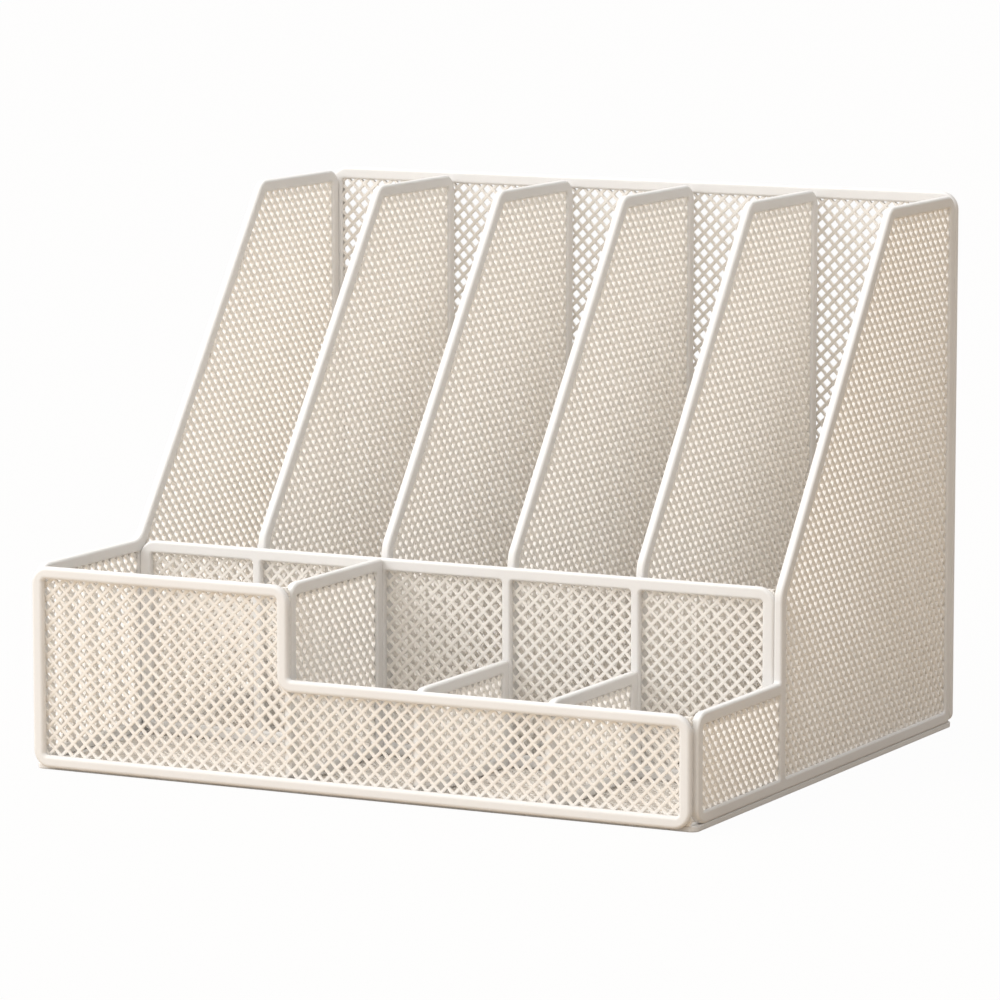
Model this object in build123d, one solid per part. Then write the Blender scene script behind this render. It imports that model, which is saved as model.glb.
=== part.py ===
from build123d import *
import math
import os

# A desktop file holder: expanded steel mesh held in steel rims, powder coated.
# It stands on z = 0 with its front towards -Y, and the middle of its footprint is
# at x = y = 0. Five file slots stand behind a middle wall, and a pen box and three
# trays lie in front of it. Sizes are in millimetres.

# Overall size
overall_width = 390.0
overall_depth = 343.0
overall_height = 298.0

# Heights above the table: the pen box and the wall behind it, and the trays
box_height = 110.0
tray_height = 60.5

# The middle wall's front face, behind the front panel's front face
wall_setback = 108.0

# The level top edge of the sides and file dividers, from the rear face forwards,
# and how far it lies below the back panel's top
top_edge_length = 94.0
top_edge_drop = 1.5

# The slope's height above the middle wall's top, at the wall's rear face
slope_foot_rise = 4.0

# File slots, from the left side's outer face to the first divider's middle, and
# then from one divider's middle to the next
first_slot_pitch = 78.0
slot_pitch = 75.8

# Rims
rim_width = 6.6
rim_thickness = 4.8
post_width = 5.0
rim_edge_radius = 1.5
front_edge_radius = 2.0
outer_corner_radius = 9.5
rear_foot_radius = 4.5
inner_corner_radius = 1.8
bend_radius = 13.0

# Front panel: in from the sides' outer faces, and up from the table
front_inset = 1.8
front_lift = 1.8

# Base: in from the outer faces of the sides and the back
base_inset = 0.4
base_thickness = 3.2
base_edge_radius = 0.8

# Mesh sheets, and the grooves that hold them
mesh_thickness = 1.2
mesh_margin = 1.5
groove_depth = 2.6
groove_clearance = 0.15

# The mesh's diamonds in small and wide sheets, measured from one to the next along
# a row, the strand's width as a share of that, and how far the diamonds run on
# under the rim
small_net_pitch = 16.0
wide_net_pitch = 32.0
strand_share = 0.156
gap_under_rim = 1.0

# Planes that several pieces share
left = -overall_width / 2
right = overall_width / 2
front = -overall_depth / 2
rear = overall_depth / 2
wall_front = front + wall_setback
wall_rear = wall_front + rim_thickness
upright_front = front + rim_thickness + mesh_thickness
upright_rear = rear - rim_thickness
top = overall_height - top_edge_drop
slope_foot = (wall_rear, box_height + slope_foot_rise)
slope_head = (rear - top_edge_length, top)
slope_rise = (slope_head[1] - slope_foot[1]) / (slope_head[0] - slope_foot[0])
divider_middles = [left + first_slot_pitch + i * slot_pitch for i in range(4)]
pen_divider_middle = divider_middles[1]
groove_width = mesh_thickness + 2 * groove_clearance
edge_radius = min(rim_edge_radius, (rim_thickness - groove_width) / 2 - 0.1)


def slope_height(y):
    """The height of the slope's upper face at y."""
    return slope_foot[1] + slope_rise * (y - slope_foot[0])


def slope_reach(z):
    """The place along y where the slope's upper face has the height z."""
    return slope_foot[0] + (z - slope_foot[1]) / slope_rise


def rectangle(u0, v0, u1, v1, radius):
    """The corners of an upright rectangle, each with the same radius."""
    return [(u0, v0, radius), (u1, v0, radius), (u1, v1, radius), (u0, v1, radius)]


def outline(corners):
    """A face inside corners, each of them u, v and the radius that rounds it."""
    points = [(u, v) for u, v, radius in corners]
    radii = [radius for u, v, radius in corners]
    return make_face(FilletPolyline(*points, radius=radii, close=True))


def inset(corners, distance, square_radius=outer_corner_radius):
    """The corners moved in, with even bands round bends and a radius for the rest."""
    moved = []
    for i, (u, v, radius) in enumerate(corners):
        before = corners[i - 1]
        after = corners[(i + 1) % len(corners)]
        arrive = Vector(u - before[0], v - before[1], 0).normalized()
        leave = Vector(after[0] - u, after[1] - v, 0).normalized()
        shift = Vector(-arrive.Y - leave.Y, arrive.X + leave.X, 0) / (1 + arrive.dot(leave))
        turn = math.copysign(1, arrive.cross(leave).Z)
        new_radius = max(radius - turn * distance, min(radius, inner_corner_radius))
        if radius == outer_corner_radius:
            new_radius = min(new_radius, square_radius)
        moved.append((u + shift.X * distance, v + shift.Y * distance, new_radius))
    return moved


def window_in(bay):
    """The hole that a rim leaves in a bay, near sharp in its square corners."""
    return inset(bay, rim_width, inner_corner_radius)


def groove_in(bay):
    """The groove's floor in a bay."""
    return inset(bay, rim_width - groove_depth, inner_corner_radius)


def sheet_in(bay):
    """The edge of the sheet that stands in a bay's groove."""
    return inset(bay, rim_width - groove_depth + groove_clearance, inner_corner_radius)


def rim(corners, windows, thickness, radius, grooves=()):
    """A frame of one outline with its windows, round edges and mesh grooves."""
    face = outline(corners)
    for window in windows:
        face -= outline(window)
    frame = extrude(face, amount=thickness, dir=(0, 0, 1))
    edges = frame.edges().filter_by_position(Axis.Z, 0, 0)
    edges += frame.edges().filter_by_position(Axis.Z, thickness, thickness)
    frame = fillet(edges, radius)
    for groove in grooves:
        slot = extrude(outline(groove), amount=groove_width, dir=(0, 0, 1))
        frame -= Pos(0, 0, (thickness - groove_width) / 2) * slot
    return frame


def cut_line(points, nu, nv, limit):
    """What is left of a polygon where nu * u + nv * v is at most the limit."""
    kept = []
    for start, end in zip(points, points[1:] + points[:1]):
        start_over = nu * start[0] + nv * start[1] - limit
        end_over = nu * end[0] + nv * end[1] - limit
        if start_over <= 0:
            kept.append(start)
        if start_over * end_over < 0:
            share = start_over / (start_over - end_over)
            along_u = start[0] + share * (end[0] - start[0])
            kept.append((along_u, start[1] + share * (end[1] - start[1])))
    return kept


def area_of(points):
    """The area of a polygon."""
    pairs = zip(points, points[1:] + points[:1])
    return abs(sum(a[0] * b[1] - b[0] * a[1] for a, b in pairs)) / 2


def diamonds(window, pitch):
    """The mesh's gaps in a window, as polygons that end a little under the rim."""
    field = [(u, v) for u, v, radius in inset(window, -gap_under_rim)]
    reach = pitch / 2 - strand_share * pitch / math.sqrt(2)
    columns = [round(2 * limit(u for u, v in field) / pitch) for limit in (min, max)]
    rows = [round(2 * limit(v for u, v in field) / pitch) for limit in (min, max)]
    gaps = []
    for i in range(columns[0] - 1, columns[1] + 2):
        for j in range(rows[0] - 1, rows[1] + 2):
            if (i + j) % 2:
                continue
            gap = field
            for nu, nv in ((1, 1), (-1, 1), (-1, -1), (1, -1)):
                gap = cut_line(gap, nu, nv, (nu * i + nv * j) * pitch / 2 + reach)
            if len(gap) > 2 and area_of(gap) > 0.2 * reach * reach:
                gaps.append(gap)
    return gaps


def net(edge, windows, pitch):
    """A sheet of mesh inside an edge, with diamond gaps where the windows are."""
    gaps = [gap for window in windows for gap in diamonds(window, pitch)]
    holes = [Wire.make_polygon(gap, close=True) for gap in gaps]
    print(len(gaps), "gaps in a sheet of pitch", pitch)
    sheet = Face(outline(edge).face().outer_wire(), holes)
    return extrude(sheet, amount=mesh_thickness, dir=(0, 0, 1))


def facing_front(piece, y, thickness):
    """Stand a flat piece across the part, with its front face at y."""
    place = Plane(origin=(0, y + thickness, 0), x_dir=(1, 0, 0), z_dir=(0, -1, 0))
    return place * piece


def facing_side(piece, x):
    """Stand a flat piece from front to rear, with its left face at x."""
    return Plane(origin=(x, 0, 0), x_dir=(0, 1, 0), z_dir=(1, 0, 0)) * piece


def save(piece, name):
    """Write one node."""
    export_step(piece, f"parts/{name}.step", write_pcurves=False)


def save_upright(name, corners, bays, meshes, x, pitch):
    """Write a frame that stands from front to rear, and a grooved net in each bay."""
    windows = [window_in(bay) for bay in bays]
    grooves = [groove_in(bay) for bay in bays]
    frame = rim(corners, windows, rim_thickness, edge_radius, grooves)
    save(facing_side(frame, x), name + "_frame")
    for bay, window, mesh in zip(bays, windows, meshes):
        sheet = net(sheet_in(bay), [window], pitch)
        middle = x + (rim_thickness - mesh_thickness) / 2
        save(facing_side(sheet, middle), f"{name}_{mesh}")


def front_panel():
    """The stepped front: tall before the pen box, low before the trays."""
    end = right - front_inset
    step = pen_divider_middle + rim_width / 2
    corners = [
        (-end, front_lift, outer_corner_radius),
        (end, front_lift, outer_corner_radius),
        (end, tray_height, outer_corner_radius),
        (step, tray_height, inner_corner_radius),
        (step, box_height, outer_corner_radius),
        (-end, box_height, outer_corner_radius),
    ]
    window = window_in(corners)
    frame = rim(corners, [window], rim_thickness, front_edge_radius)
    save(facing_front(frame, front, rim_thickness), "front_panel_frame")
    edge = inset(corners, mesh_margin)
    for i in (0, 1):
        edge[i] = (edge[i][0], base_thickness, edge[i][2])
    sheet = net(edge, [window], small_net_pitch)
    save(facing_front(sheet, front + rim_thickness, mesh_thickness), "front_panel_mesh")


def back_panel():
    """The back, behind the ends of the sides and of the file dividers."""
    bay = [
        (left, base_thickness, rear_foot_radius),
        (right, base_thickness, rear_foot_radius),
        (right, overall_height, outer_corner_radius),
        (left, overall_height, outer_corner_radius),
    ]
    window = window_in(bay)
    frame = rim(bay, [window], rim_thickness, edge_radius, [groove_in(bay)])
    save(facing_front(frame, upright_rear, rim_thickness), "back_panel_frame")
    sheet = net(sheet_in(bay), [window], wide_net_pitch)
    groove_middle = upright_rear + (rim_thickness - mesh_thickness) / 2
    save(facing_front(sheet, groove_middle, mesh_thickness), "back_panel_mesh")


def file_bay(bay_front, foot_radius):
    """The tall bay behind the middle wall, its slope starting at the bay's front."""
    return [
        (bay_front, base_thickness, foot_radius),
        (upright_rear, base_thickness, rear_foot_radius),
        (upright_rear, top, outer_corner_radius),
        (slope_head[0], top, outer_corner_radius),
        (bay_front, slope_height(bay_front), bend_radius),
    ]


def sides():
    """Left and right: a file bay and a front bay, with a bar at the middle wall."""
    bar_rear = wall_front + rim_width
    rear_bay = file_bay(wall_front, outer_corner_radius)
    rear_corners = rear_bay[1:4]
    front_foot = (upright_front, base_thickness, outer_corner_radius)

    for name, height, x in (("left_side", box_height, left),
                            ("right_side", tray_height, right - rim_thickness)):
        front_bay = rectangle(
            upright_front, base_thickness, bar_rear, height, outer_corner_radius)
        if height == box_height:
            joint = [(slope_reach(height), height, bend_radius)]
        else:
            joint = [rear_bay[4], (wall_front, height, inner_corner_radius)]
        front_top = (upright_front, height, outer_corner_radius)
        corners = [front_foot] + rear_corners + joint + [front_top]
        save_upright(name, corners, [rear_bay, front_bay], ["file_mesh", "front_mesh"],
                     x, wide_net_pitch)


def middle_wall():
    """The wall before the file slots: a rim, and a post before each file divider."""
    ends = (left + rim_thickness, right - rim_thickness)
    corners = rectangle(ends[0], base_thickness, ends[1], box_height, outer_corner_radius)
    starts = [ends[0] + rim_width] + [x + post_width / 2 for x in divider_middles]
    stops = [x - post_width / 2 for x in divider_middles] + [ends[1] - rim_width]
    low = base_thickness + rim_width
    high = box_height - rim_width
    windows = [
        rectangle(start, low, stop, high, inner_corner_radius)
        for start, stop in zip(starts, stops)
    ]
    frame = rim(corners, windows, rim_thickness, edge_radius)
    save(facing_front(frame, wall_front, rim_thickness), "middle_wall_frame")
    sheet = net(inset(corners, mesh_margin), windows, wide_net_pitch)
    save(facing_front(sheet, wall_rear, mesh_thickness), "middle_wall_mesh")


def file_dividers():
    """Four dividers from the middle wall to the back panel."""
    bay = file_bay(wall_rear + mesh_thickness, outer_corner_radius)
    for number, middle in enumerate(divider_middles, 1):
        save_upright(f"file_divider_{number}", bay, [bay], ["mesh"],
                     middle - rim_thickness / 2, wide_net_pitch)


def front_dividers():
    """The pen box's right wall and the two tray dividers, before the middle wall."""
    heights = [("pen_divider", box_height, pen_divider_middle)]
    for number, middle in enumerate(divider_middles[2:], 1):
        heights.append((f"tray_divider_{number}", tray_height, middle))
    for name, height, middle in heights:
        bay = [
            (upright_front, base_thickness, outer_corner_radius),
            (wall_front, base_thickness, inner_corner_radius),
            (wall_front, height, inner_corner_radius),
            (upright_front, height, outer_corner_radius),
        ]
        save_upright(name, bay, [bay], ["mesh"], middle - rim_thickness / 2,
                     small_net_pitch)


def base():
    """The floor under every compartment, behind the front panel's lower edge."""
    end = right - base_inset
    bay = rectangle(
        -end, front + rim_thickness, end, rear - base_inset, rear_foot_radius)
    window = window_in(bay)
    radius = min(base_edge_radius, (base_thickness - groove_width) / 2 - 0.1)
    save(rim(bay, [window], base_thickness, radius, [groove_in(bay)]), "base_frame")
    sheet = net(sheet_in(bay), [window], wide_net_pitch)
    save(Pos(0, 0, (base_thickness - mesh_thickness) / 2) * sheet, "base_mesh")


os.makedirs("parts", exist_ok=True)
front_panel()
back_panel()
sides()
middle_wall()
file_dividers()
front_dividers()
base()
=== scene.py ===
"""Looks of a desktop file holder: powder coated steel rims and expanded steel nets."""
import math

import bmesh
import bpy
from bpy.props import FloatProperty, FloatVectorProperty, PointerProperty
from mathutils import Matrix, Vector


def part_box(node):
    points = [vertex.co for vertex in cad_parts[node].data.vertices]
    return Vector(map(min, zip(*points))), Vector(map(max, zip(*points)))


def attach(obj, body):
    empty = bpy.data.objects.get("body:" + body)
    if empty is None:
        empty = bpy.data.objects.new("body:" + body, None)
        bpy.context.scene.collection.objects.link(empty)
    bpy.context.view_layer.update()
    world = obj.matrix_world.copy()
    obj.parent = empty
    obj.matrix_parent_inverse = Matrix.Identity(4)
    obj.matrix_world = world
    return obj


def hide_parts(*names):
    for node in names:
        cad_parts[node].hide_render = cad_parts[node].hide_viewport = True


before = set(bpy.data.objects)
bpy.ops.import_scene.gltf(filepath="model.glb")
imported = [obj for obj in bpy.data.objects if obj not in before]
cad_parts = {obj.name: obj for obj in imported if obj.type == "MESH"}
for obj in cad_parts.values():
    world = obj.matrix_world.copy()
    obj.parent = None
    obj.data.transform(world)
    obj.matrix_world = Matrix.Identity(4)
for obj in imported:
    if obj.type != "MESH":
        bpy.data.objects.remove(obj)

bl_info = {
    "name": "Desktop file holder",
    "version": (1, 0, 0),
    "blender": (4, 5, 0),
    "location": "View3D > Sidebar > Holder",
    "description": "Nets, powder coat and studio for a desktop file holder",
    "category": "Object",
}

ROOT = "root"
# Names that none of the part's own materials has
RIM_COAT = "rim_powder_coat"
# The nets' coat is the rims' powder painted lighter and yellower, as painted light, so
# that the nets render brighter than the rims
NET_COAT_PAINTED_LIGHTER = "net_powder_coat"
UPRIGHTS = ("left_side_file", "left_side_front", "right_side_file", "right_side_front")
FILE_DIVIDERS = tuple(f"file_divider_{number}" for number in (1, 2, 3, 4))
FRONT_DIVIDERS = ("pen_divider", "tray_divider_1", "tray_divider_2")

# How each kind of sheet lies: the part's axes along its width, its height and its
# thickness
ACROSS = (0, 2, 1)
ENDWAYS = (1, 2, 0)
LEVEL = (0, 1, 2)
# The way in which the top corners of a sheet's holes stand out of its plane
TOP_CORNER_SIDE = {ACROSS: 1, ENDWAYS: -1, LEVEL: 1}

# Sides of a sheet's outline that are shorter, and steps in it that are lower, belong to
# a rounded corner
CORNER_LENGTH = 0.02
SAME_PLACE = 1e-6
# Edges of a strand that turn more than this are drawn sharp
SHARP_TURN = math.radians(60)

# The coat's clouds and specks: how many there are to a metre, and how far each shifts
# the colour and the roughness
CLOUDS_PER_METRE = 28.0
SPECKS_PER_METRE = 900.0
CLOUD_TINT = 0.7
SPECK_TINT = 0.3
DEEPEST_TINT = 0.06
# How fast red, green and blue fall as the coat gets darker
TINT_LOSS = (1.0, 1.15, 1.5)
CLOUD_ROUGHNESS = 0.16
SPECK_ROUGHNESS = 0.12
PEEL_STRENGTH = 0.5
# A polyester coat shines less than the shader's plain plastic
COAT_IOR = 1.5
COAT_SPECULAR = 0.25

SENSOR_WIDTH = 36.0
FARTHEST_SEEN = 50.0
LAMP_SIZE = 1.3
LAMP_DISTANCE = 2.6
LAMP_TARGET = Vector((0, 0, 0.14))
FLOOR_REACH = 12.0
WHITE = (1, 1, 1, 1)
# The share of plain white in the floor as the camera sees it. The rest takes the shadow.
FLOOR_WHITE = 0.97


class NetSettings(bpy.types.PropertyGroup):
    """Sizes of the expanded steel net."""

    across_pitch: FloatProperty(
        name="Across pitch", description="From diamond to diamond along a row, in "
        "sheets that face the front or lie level", default=0.0076, min=0.002,
        unit="LENGTH")
    endways_pitch: FloatProperty(
        name="Endways pitch", description="From diamond to diamond along a row, in "
        "sheets that stand from front to rear", default=0.0069, min=0.002,
        unit="LENGTH")
    row_pitch: FloatProperty(
        name="Row pitch", description="From one diamond to the next above it",
        default=0.0077, min=0.002, unit="LENGTH")
    across_strand: FloatProperty(
        name="Across strand", description="Width of a strand across its run, in sheets "
        "that face the front or lie level", default=0.0019, min=0.0006, unit="LENGTH")
    endways_strand: FloatProperty(
        name="Endways strand", description="Width of a strand across its run, in sheets "
        "that stand from front to rear", default=0.0021, min=0.0006, unit="LENGTH")
    rounding: FloatProperty(
        name="Rounding", description="Width of a strand's sloping edge on each side",
        default=0.00025, min=0.0, unit="LENGTH")
    thickness: FloatProperty(
        name="Thickness", description="Thickness of the steel with its coat",
        default=0.0018, min=0.0001, unit="LENGTH")
    lean: FloatProperty(
        name="Lean", description="How far a strand's edges stand out of the sheet's "
        "plane", default=0.0004, min=0.0, unit="LENGTH")


class CoatSettings(bpy.types.PropertyGroup):
    """Colours and surface of the powder coat."""

    rim_colour: FloatVectorProperty(
        name="Rim colour", description="Powder coat on the rims",
        default=(0.80, 0.785, 0.77), size=3, min=0.0, max=1.0, subtype="COLOR")
    # Painted light: the same powder coat as the rims, painted lighter and yellower so
    # that the nets render as bright as lit ones
    net_colour: FloatVectorProperty(
        name="Net colour", description="Powder coat on the nets",
        default=(0.97, 0.935, 0.89), size=3, min=0.0, max=1.0, subtype="COLOR")
    roughness: FloatProperty(
        name="Roughness", description="Mean roughness of the coat",
        default=0.55, min=0.0, max=1.0, subtype="FACTOR")
    peel_size: FloatProperty(
        name="Peel size", description="Width of the coat's fine orange peel",
        default=0.0012, min=0.0001, unit="LENGTH")
    peel_depth: FloatProperty(
        name="Peel depth", description="Depth of the coat's fine orange peel",
        default=0.00003, min=0.0, unit="LENGTH")


class StageSettings(bpy.types.PropertyGroup):
    """Camera, lamps and floor."""

    azimuth: FloatProperty(
        name="Azimuth", description="Camera's turn from straight in front to the right",
        default=math.radians(26.95), subtype="ANGLE")
    elevation: FloatProperty(
        name="Elevation", description="Camera's height as an angle",
        default=math.radians(7.99), subtype="ANGLE")
    distance: FloatProperty(
        name="Distance", description="From the camera to the point it looks at",
        default=3.037, min=0.1, unit="LENGTH")
    aim_height: FloatProperty(
        name="Aim height", description="Height of the point that the camera looks at",
        default=0.1362, unit="LENGTH")
    aim_right: FloatProperty(
        name="Aim right", description="That point's place to the right of the middle",
        default=-0.0008, unit="LENGTH")
    lens: FloatProperty(
        name="Lens", description="Focal length in millimetres on a 36 mm sensor",
        default=201.8, min=1.0)
    floor_colour: FloatVectorProperty(
        name="Floor colour", description="Pale plain floor",
        default=(0.52, 0.42, 0.31), size=3, min=0.0, max=1.0, subtype="COLOR")
    bright_light: FloatVectorProperty(
        name="Bright light", description="Light from the room's bright side",
        default=(2.28, 2.26, 2.24), size=3, min=0.0, soft_max=1.0, subtype="COLOR")
    dim_light: FloatVectorProperty(
        name="Dim light", description="Light from the side opposite the bright one",
        default=(0.0, 0.0, 0.0), size=3, min=0.0, soft_max=1.0, subtype="COLOR")
    bright_azimuth: FloatProperty(
        name="Bright azimuth", description="Turn of the room's bright side",
        default=math.radians(-52), subtype="ANGLE")
    bright_elevation: FloatProperty(
        name="Bright elevation", description="Height of the room's bright side",
        default=math.radians(60), subtype="ANGLE")
    key_azimuth: FloatProperty(
        name="Key azimuth", description="Turn of the large soft lamp",
        default=math.radians(-38), subtype="ANGLE")
    key_elevation: FloatProperty(
        name="Key elevation", description="Height of the large soft lamp",
        default=math.radians(30), subtype="ANGLE")
    key_colour: FloatVectorProperty(
        name="Key colour", description="Colour of the large soft lamp",
        default=(0.92, 0.96, 1.0), size=3, min=0.0, max=1.0, subtype="COLOR")
    key_power: FloatProperty(
        name="Key power", description="Power of the large soft lamp",
        default=20.0, min=0.0, unit="POWER")


class Sum:
    """A node's output, with Python's operators adding Math nodes to its tree."""

    def __init__(self, tree, socket):
        self.tree = tree
        self.socket = socket

    def join(self, operation, first, second):
        node = self.tree.nodes.new("ShaderNodeMath")
        node.operation = operation
        for place, value in zip(node.inputs, (first, second)):
            connect(self.tree, value, place)
        return Sum(self.tree, node.outputs[0])

    def __add__(self, other):
        return self.join("ADD", self, other)

    __radd__ = __add__

    def __sub__(self, other):
        return self.join("SUBTRACT", self, other)

    def __rsub__(self, other):
        return self.join("SUBTRACT", other, self)

    def __mul__(self, other):
        return self.join("MULTIPLY", self, other)

    __rmul__ = __mul__


def connect(tree, value, place):
    """Set an input to a value, or link an output to it."""
    if isinstance(value, Sum):
        tree.links.new(value.socket, place)
    else:
        place.default_value = value


class Shade:
    """A node tree while it is being built."""

    def __init__(self, owner):
        owner.use_nodes = True
        self.tree = owner.node_tree
        self.tree.nodes.clear()

    def node(self, kind, output, settings=None, **values):
        """Add a node of any kind and give back one of its outputs. An input is named by
        its identifier in lower case, with _ for each space or dot."""
        node = self.tree.nodes.new("ShaderNode" + kind)
        for name, value in (settings or {}).items():
            setattr(node, name, value)
        for place in node.inputs:
            key = place.identifier.lower().replace(" ", "_").replace(".", "_")
            if place.enabled and key in values:
                connect(self.tree, values.pop(key), place)
        if values:
            raise ValueError(f"{kind} has no input named {sorted(values)}")
        return None if output is None else Sum(self.tree, node.outputs[output])

    def blend(self, share, first, second):
        """A colour between two, or a shader between two."""
        if isinstance(first, Sum) and first.socket.type == "SHADER":
            return self.node("MixShader", "Shader", fac=share, shader=first,
                             shader_001=second)
        return self.node("Mix", 2, {"data_type": "RGBA"}, factor_float=share,
                         a_color=first, b_color=second)

    def surface(self, shader, end="OutputMaterial"):
        """Make a shader the tree's surface."""
        self.node(end, None, surface=shader)


def rgba(colour):
    """A colour with full alpha."""
    return (colour[0], colour[1], colour[2], 1.0)


def tinted(colour, share):
    """A colour made darker and a little warmer, as a coat is where it lies thick."""
    return rgba([value * (1 - loss * share) for value, loss in zip(colour, TINT_LOSS)])


def powder_coat(name, colour, coat):
    """Satin polyester powder on steel: faint clouds of colour, sheen and orange peel."""
    material = bpy.data.materials.new(name)
    shade = Shade(material)
    place = shade.node("TexCoord", "Object")
    clouds = shade.node("TexNoise", "Fac", vector=place, scale=CLOUDS_PER_METRE,
                        detail=3.0)
    specks = shade.node("TexNoise", "Fac", vector=place, scale=SPECKS_PER_METRE,
                        detail=2.0)
    peel = shade.node("TexNoise", "Fac", vector=place, scale=1 / coat.peel_size,
                      detail=1.5)
    shift = clouds * CLOUD_TINT + specks * SPECK_TINT
    base = shade.blend(shift, rgba(colour), tinted(colour, DEEPEST_TINT))
    relief = shade.node("Bump", "Normal", strength=PEEL_STRENGTH,
                        distance=coat.peel_depth, height=peel)
    rough = ((clouds - 0.5) * CLOUD_ROUGHNESS + (specks - 0.5) * SPECK_ROUGHNESS
             + coat.roughness)
    shader = shade.node("BsdfPrincipled", "BSDF", base_color=base, roughness=rough,
                        normal=relief, ior=COAT_IOR, specular_ior_level=COAT_SPECULAR)
    shade.surface(shader)
    return material


def shared_coat(context, name):
    """The coat of the rims or of the nets, made once."""
    found = bpy.data.materials.get(name)
    if found:
        return found
    coat = context.scene.holder_coat
    # The nets take the coat's colour painted lighter than the rims', as painted light
    colour = coat.rim_colour if name == RIM_COAT else coat.net_colour
    return powder_coat(name, colour, coat)


def place_of(u, v, w, axes):
    """A sheet's own width, height and depth as a point of the part."""
    point = [0.0, 0.0, 0.0]
    for value, axis in zip((u, v, w), axes):
        point[axis] = value
    return point


def whole_diamonds(low, high, pitch, strand, settings, top_corner_side):
    """Points and faces of a net of whole diamonds that covers a rectangle.

    Steel is slit and drawn out, which leaves each strand leaning: the hole's top
    corner stands behind the sheet's plane and its bottom corner before it."""
    half = [step / 2 for step in pitch]
    shrink = half[0] * half[1] / math.hypot(*half)
    face_share = 1 - (strand / 2 - settings.rounding) / shrink
    wall_share = 1 - strand / 2 / shrink
    rise = settings.thickness / 2
    corners = ((1, 0), (0, 1), (-1, 0), (0, -1))
    points = []
    faces = []
    crossings = {}

    def crossing(i, j, side):
        key = (i, j, side)
        if key not in crossings:
            crossings[key] = len(points)
            points.append((i * half[0], j * half[1], side * rise))
        return crossings[key]

    first = [math.floor(value / step) - 1 for value, step in zip(low, half)]
    last = [math.ceil(value / step) + 1 for value, step in zip(high, half)]
    for i in range(first[0], last[0] + 1):
        for j in range(first[1], last[1] + 1):
            if (i + j) % 2:
                continue
            rings = []
            for share, side in ((face_share, 1), (wall_share, 0), (face_share, -1)):
                rings.append(len(points))
                for du, dv in corners:
                    lean = settings.lean * dv * top_corner_side
                    points.append(((i + du * share) * half[0],
                                   (j + dv * share) * half[1], lean + side * rise))
            for k in range(4):
                n = (k + 1) % 4
                here, there = corners[k], corners[n]
                near = (i + here[0], j + here[1])
                far = (i + there[0], j + there[1])
                back, wall, front = rings
                faces.append((crossing(*near, 1), crossing(*far, 1), back + n, back + k))
                faces.append((back + k, back + n, wall + n, wall + k))
                faces.append((wall + k, wall + n, front + n, front + k))
                faces.append((front + k, front + n, crossing(*far, -1),
                              crossing(*near, -1)))
    return points, faces


def straight_edges(node, axes):
    """A sheet's long straight edges, each a point on it and the way out of the sheet."""
    flat = {(round(vertex.co[axes[0]], 6), round(vertex.co[axes[1]], 6))
            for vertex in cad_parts[node].data.vertices}
    hull = []
    for sweep in (sorted(flat), sorted(flat, reverse=True)):
        side = []
        for point in sweep:
            while len(side) > 1 and turn(side[-2], side[-1], point) <= 0:
                side.pop()
            side.append(point)
        hull += side[:-1]
    edges = []
    for start, end in zip(hull, hull[1:] + hull[:1]):
        along = Vector((end[0] - start[0], end[1] - start[1]))
        if along.length > CORNER_LENGTH:
            edges.append((start, (along.y / along.length, -along.x / along.length)))
    return edges


def turn(a, b, c):
    """Twice the area of a triangle, positive where it turns to the left."""
    return (b[0] - a[0]) * (c[1] - a[1]) - (b[1] - a[1]) * (c[0] - a[0])


def close_cut_ends(body):
    """Put a flat end on every strand that is still open."""
    cut_ends = [edge for edge in body.edges if edge.is_boundary]
    bmesh.ops.holes_fill(body, edges=cut_ends, sides=0)


def trim(body, point, way, axes, drop_outside):
    """Cut a net along a straight line through its sheet. Where the outside is dropped,
    each strand that was cut off gets a flat end at once, while its edges lie flat."""
    everything = body.verts[:] + body.edges[:] + body.faces[:]
    cut = bmesh.ops.bisect_plane(
        body, geom=everything, dist=SAME_PLACE,
        plane_co=place_of(point[0], point[1], 0, axes),
        plane_no=place_of(way[0], way[1], 0, axes), clear_outer=drop_outside)
    if drop_outside:
        cut_ends = [edge for edge in cut["geom_cut"]
                    if isinstance(edge, bmesh.types.BMEdge)]
        bmesh.ops.holes_fill(body, edges=cut_ends, sides=0)


def drop_notch(body, step, ledge, axes):
    """Remove the net right of a step and above a ledge."""
    trim(body, (step, 0), (1, 0), axes, False)
    trim(body, (0, ledge), (0, 1), axes, False)
    gone = []
    for face in body.faces:
        middle = face.calc_center_median()
        if middle[axes[0]] > step and middle[axes[1]] > ledge:
            gone.append(face)
    bmesh.ops.delete(body, geom=gone, context="FACES")


def expanded_net(context, node, axes, notch=None):
    """Build the net that a sheet of the part stands for, trimmed to its edges."""
    settings = context.scene.holder_net
    low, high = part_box(node)
    middle = (low[axes[2]] + high[axes[2]]) / 2
    if axes == ENDWAYS:
        row, strand = settings.endways_pitch, settings.endways_strand
    else:
        row, strand = settings.across_pitch, settings.across_strand
    points, faces = whole_diamonds(
        (low[axes[0]], low[axes[1]]), (high[axes[0]], high[axes[1]]),
        (row, settings.row_pitch), strand, settings, TOP_CORNER_SIDE[axes])
    mesh = bpy.data.meshes.new(node.replace("_mesh", "_net"))
    mesh.from_pydata([place_of(u, v, w + middle, axes) for u, v, w in points], [], faces)
    body = bmesh.new()
    body.from_mesh(mesh)
    if notch:
        outline = box_edges(low, high, axes)
    else:
        outline = straight_edges(node, axes)
    for point, way in outline:
        trim(body, point, way, axes, True)
    if notch:
        drop_notch(body, *notch, axes)
    close_cut_ends(body)
    bmesh.ops.recalc_face_normals(body, faces=body.faces)
    for face in body.faces:
        face.smooth = True
    for edge in body.edges:
        edge.smooth = edge.calc_face_angle(0) < SHARP_TURN
    body.to_mesh(mesh)
    body.free()
    net = bpy.data.objects.new(mesh.name, mesh)
    context.scene.collection.objects.link(net)
    mesh.materials.append(shared_coat(context, NET_COAT_PAINTED_LIGHTER))
    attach(net, ROOT)
    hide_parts(node)


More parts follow.
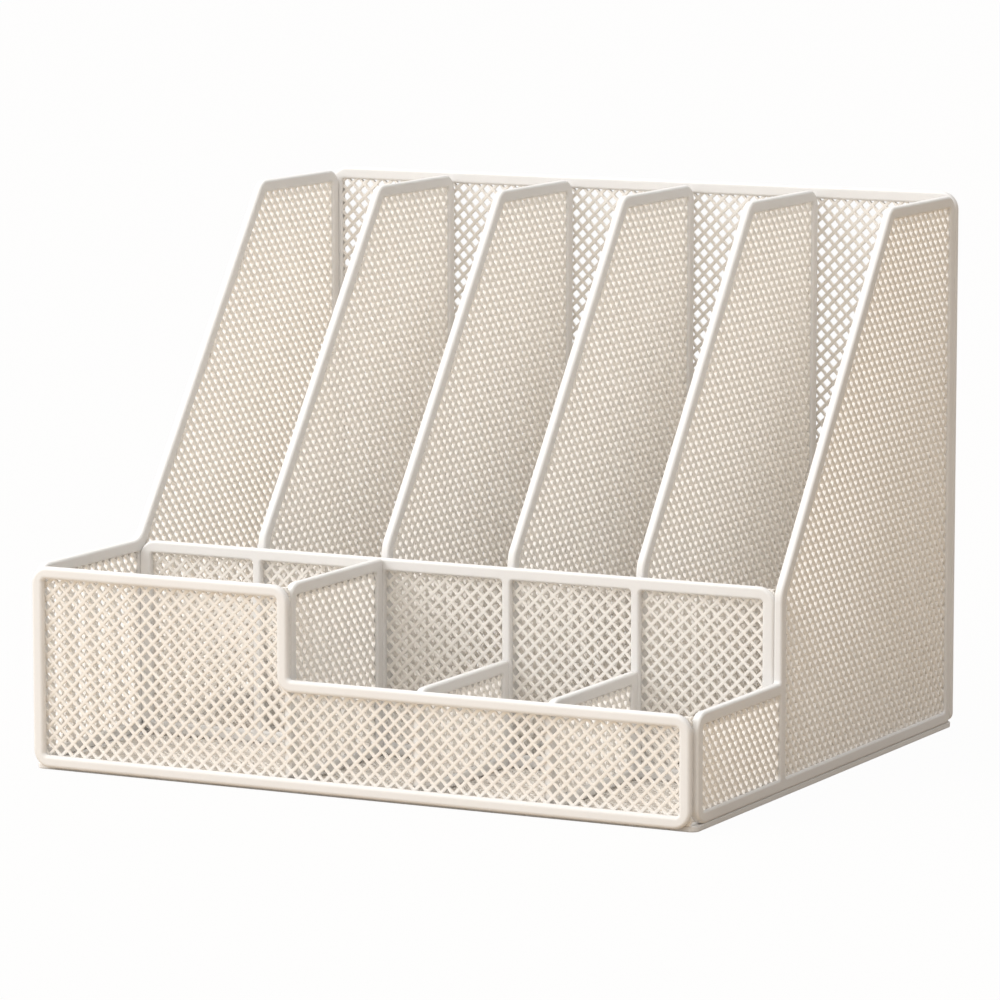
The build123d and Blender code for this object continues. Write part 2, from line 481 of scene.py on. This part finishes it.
def box_edges(low, high, axes):
    """The four edges of a rectangular sheet."""
    u, v = axes[0], axes[1]
    start = (low[u], low[v])
    end = (high[u], high[v])
    return [(start, (-1, 0)), (start, (0, -1)), (end, (1, 0)), (end, (0, 1))]


def aim(thing, place, target):
    """Point an object's -Z at a target, from a place."""
    back = (Vector(place) - Vector(target)).normalized()
    right = Vector((0, 0, 1)).cross(back).normalized()
    axes = Matrix((right, back.cross(right), back)).transposed()
    thing.matrix_world = Matrix.Translation(place) @ axes.to_4x4()


def direction(azimuth, elevation):
    """The unit vector towards a place seen at an azimuth and elevation."""
    flat = math.cos(elevation)
    return Vector((math.sin(azimuth) * flat, -math.cos(azimuth) * flat,
                   math.sin(elevation)))


class HOLDER_OT_rims(bpy.types.Operator):
    """Give every steel rim its powder coat"""

    bl_idname = "holder.rims"
    bl_label = "Rims"

    def execute(self, context):
        rims = [node for name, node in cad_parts.items() if name.endswith("_frame")]
        if not rims:
            raise RuntimeError("the part has no rims")
        for rim in rims:
            rim.data.materials.clear()
            rim.data.materials.append(shared_coat(context, RIM_COAT))
        return {"FINISHED"}


class HOLDER_OT_front_net(bpy.types.Operator):
    """Build the stepped net behind the front rim"""

    bl_idname = "holder.front_net"
    bl_label = "Front net"

    def execute(self, context):
        node = "front_panel_mesh"
        vertices = [vertex.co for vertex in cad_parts[node].data.vertices]
        ledge = max(point.z for point in vertices if point.x > 0)
        step = max(point.x for point in vertices if point.z > ledge + CORNER_LENGTH)
        expanded_net(context, node, ACROSS, (step, ledge))
        return {"FINISHED"}


class HOLDER_OT_back_net(bpy.types.Operator):
    """Build the tall net of the back panel"""

    bl_idname = "holder.back_net"
    bl_label = "Back net"

    def execute(self, context):
        expanded_net(context, "back_panel_mesh", ACROSS)
        return {"FINISHED"}


class HOLDER_OT_wall_net(bpy.types.Operator):
    """Build the net behind the middle wall's posts"""

    bl_idname = "holder.wall_net"
    bl_label = "Middle wall net"

    def execute(self, context):
        expanded_net(context, "middle_wall_mesh", ACROSS)
        return {"FINISHED"}


class HOLDER_OT_side_nets(bpy.types.Operator):
    """Build the nets of the left and right sides"""

    bl_idname = "holder.side_nets"
    bl_label = "Side nets"

    def execute(self, context):
        for name in UPRIGHTS:
            expanded_net(context, name + "_mesh", ENDWAYS)
        return {"FINISHED"}


class HOLDER_OT_file_divider_nets(bpy.types.Operator):
    """Build the nets between the file slots"""

    bl_idname = "holder.file_divider_nets"
    bl_label = "File divider nets"

    def execute(self, context):
        for name in FILE_DIVIDERS:
            expanded_net(context, name + "_mesh", ENDWAYS)
        return {"FINISHED"}


class HOLDER_OT_front_divider_nets(bpy.types.Operator):
    """Build the nets between the pen box and the trays"""

    bl_idname = "holder.front_divider_nets"
    bl_label = "Front divider nets"

    def execute(self, context):
        for name in FRONT_DIVIDERS:
            expanded_net(context, name + "_mesh", ENDWAYS)
        return {"FINISHED"}


class HOLDER_OT_base_net(bpy.types.Operator):
    """Build the net of the floor"""

    bl_idname = "holder.base_net"
    bl_label = "Base net"

    def execute(self, context):
        expanded_net(context, "base_mesh", LEVEL)
        return {"FINISHED"}


class HOLDER_OT_stage(bpy.types.Operator):
    """Set the camera, lamps, floor and white surround"""

    bl_idname = "holder.stage"
    bl_label = "Stage"

    def execute(self, context):
        stage = context.scene.holder_stage
        self.add_camera(context, stage)
        self.add_floor(context, stage)
        self.add_world(context, stage)
        self.add_key_lamp(context, stage)
        context.scene.view_settings.view_transform = "Standard"
        return {"FINISHED"}

    def add_camera(self, context, stage):
        camera = bpy.data.objects.new("camera", bpy.data.cameras.new("camera"))
        context.scene.collection.objects.link(camera)
        camera.data.lens = stage.lens
        camera.data.sensor_width = SENSOR_WIDTH
        camera.data.clip_end = FARTHEST_SEEN
        right = Vector((math.cos(stage.azimuth), math.sin(stage.azimuth), 0))
        target = right * stage.aim_right + Vector((0, 0, stage.aim_height))
        place = target + direction(stage.azimuth, stage.elevation) * stage.distance
        aim(camera, place, target)
        context.scene.camera = camera

    def add_key_lamp(self, context, stage):
        light = bpy.data.lights.new("key_lamp", "AREA")
        light.shape = "SQUARE"
        light.size = LAMP_SIZE
        light.energy = stage.key_power
        light.color = stage.key_colour
        lamp = bpy.data.objects.new("key_lamp", light)
        context.scene.collection.objects.link(lamp)
        way = direction(stage.key_azimuth, stage.key_elevation)
        aim(lamp, LAMP_TARGET + way * LAMP_DISTANCE, LAMP_TARGET)

    def add_floor(self, context, stage):
        mesh = bpy.data.meshes.new("floor")
        corners = [(x * FLOOR_REACH, y * FLOOR_REACH, 0)
                   for x, y in ((-1, -1), (1, -1), (1, 1), (-1, 1))]
        mesh.from_pydata(corners, [], [(0, 1, 2, 3)])
        floor = bpy.data.objects.new("floor", mesh)
        context.scene.collection.objects.link(floor)
        material = bpy.data.materials.new("pale_floor")
        shade = Shade(material)
        seen = shade.node("LightPath", "Is Camera Ray")
        gloss = shade.node("LightPath", "Is Glossy Ray")
        paper = shade.node("BsdfDiffuse", "BSDF", color=rgba(stage.floor_colour))
        white = shade.node("Emission", "Emission", color=WHITE, strength=1.0)
        shade.surface(shade.blend((seen + gloss) * FLOOR_WHITE, paper, white))
        mesh.materials.append(material)

    def add_world(self, context, stage):
        world = bpy.data.worlds.new("studio")
        context.scene.world = world
        shade = Shade(world)
        seen = shade.node("LightPath", "Is Camera Ray")
        gloss = shade.node("LightPath", "Is Glossy Ray")
        way = shade.node("TexCoord", "Generated")
        bright_way = direction(stage.bright_azimuth, stage.bright_elevation)
        facing = shade.node("VectorMath", "Value", {"operation": "DOT_PRODUCT"},
                            vector=way, vector_001=bright_way)
        near = facing * 0.5 + 0.5
        light = shade.blend(near * near * near, rgba(stage.dim_light),
                            rgba(stage.bright_light))
        room = shade.node("Background", "Background", color=light)
        white = shade.node("Background", "Background", color=WHITE)
        shade.surface(shade.blend(seen + gloss, room, white), "OutputWorld")


OPERATORS = (
    HOLDER_OT_rims,
    HOLDER_OT_front_net,
    HOLDER_OT_back_net,
    HOLDER_OT_wall_net,
    HOLDER_OT_side_nets,
    HOLDER_OT_file_divider_nets,
    HOLDER_OT_front_divider_nets,
    HOLDER_OT_base_net,
    HOLDER_OT_stage,
)


class HOLDER_PT_panel(bpy.types.Panel):
    """Pieces and settings of the desktop file holder"""

    bl_idname = "HOLDER_PT_panel"
    bl_label = "Desktop file holder"
    bl_space_type = "VIEW_3D"
    bl_region_type = "UI"
    bl_category = "Holder"

    def draw(self, context):
        layout = self.layout
        for operator in OPERATORS:
            layout.operator(operator.bl_idname)
        scene = context.scene
        for settings in (scene.holder_net, scene.holder_coat, scene.holder_stage):
            box = layout.box()
            for name in settings.__annotations__:
                box.prop(settings, name)


SETTINGS = {
    "holder_net": NetSettings,
    "holder_coat": CoatSettings,
    "holder_stage": StageSettings,
}


def register():
    for settings in SETTINGS.values():
        bpy.utils.register_class(settings)
    for name, settings in SETTINGS.items():
        setattr(bpy.types.Scene, name, PointerProperty(type=settings))
    for operator in OPERATORS:
        bpy.utils.register_class(operator)
    bpy.utils.register_class(HOLDER_PT_panel)


def unregister():
    bpy.utils.unregister_class(HOLDER_PT_panel)
    for operator in reversed(OPERATORS):
        bpy.utils.unregister_class(operator)
    for name in SETTINGS:
        delattr(bpy.types.Scene, name)
    for settings in reversed(SETTINGS.values()):
        bpy.utils.unregister_class(settings)


def main():
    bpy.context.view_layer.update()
    register()
    bpy.ops.holder.rims()
    bpy.ops.holder.front_net()
    bpy.ops.holder.back_net()
    bpy.ops.holder.wall_net()
    bpy.ops.holder.side_nets()
    bpy.ops.holder.file_divider_nets()
    bpy.ops.holder.front_divider_nets()
    bpy.ops.holder.base_net()
    bpy.ops.holder.stage()


if __name__ == "__main__":
    main()
